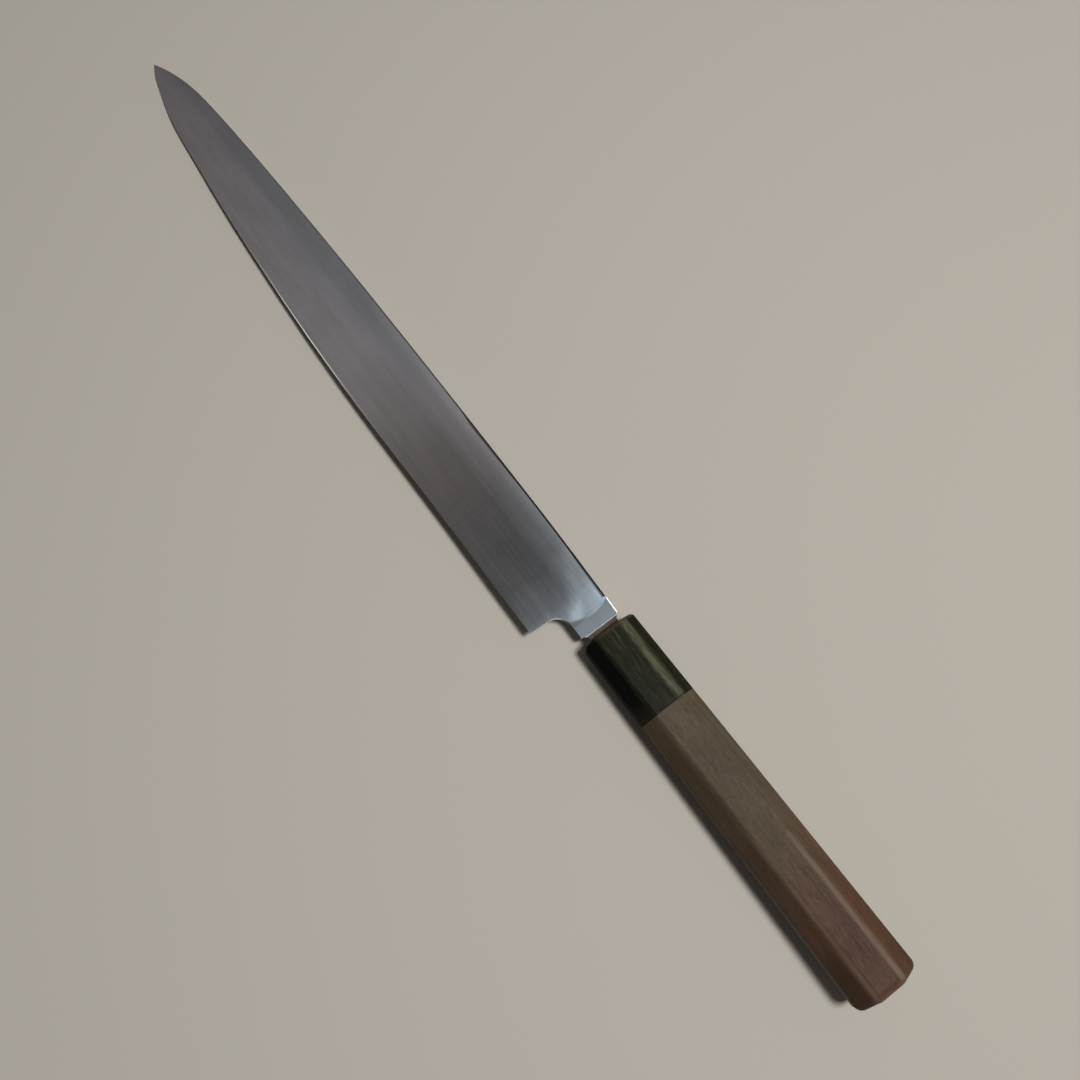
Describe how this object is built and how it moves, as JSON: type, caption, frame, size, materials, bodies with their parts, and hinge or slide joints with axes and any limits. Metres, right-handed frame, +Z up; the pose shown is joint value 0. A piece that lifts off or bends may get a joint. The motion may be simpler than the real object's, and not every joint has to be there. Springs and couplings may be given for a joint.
{
  "type": "slicing knife",
  "caption": "Long narrow single-bevel slicing knife with a hollow-ground flat face, stepped neck, dark horn ferrule and tapered octagonal wooden handle.",
  "frame": {"origin": "centre of the footprint on the surface the knife lies on, flat face up", "axes": "+X runs from the tip of the blade towards the butt of the handle, +Y from the edge towards the spine, +Z up out of the flat face; the blade rises by about two degrees towards the handle"},
  "size_m": [0.4746, 0.0366, 0.026],
  "materials": {
    "cutting_steel": "fine satin grind, grey",
    "soft_iron": "fine satin grind, dark forge scale on the tang",
    "horn": "polished dark horn with olive brown streaks",
    "handle_wood": "satin dark reddish brown hardwood, long open pores",
    "dowel_wood": "plain pale softwood",
    "seal_resin": "dark resin"
  },
  "bodies": {
    "root": {"cutting_steel_layer": "cutting_steel", "soft_iron_blade_and_tang": "soft_iron", "horn_ferrule": "horn", "wooden_handle": "handle_wood", "handle_dowel": "dowel_wood", "tang_seal": "seal_resin"}
  },
  "joints": []
}
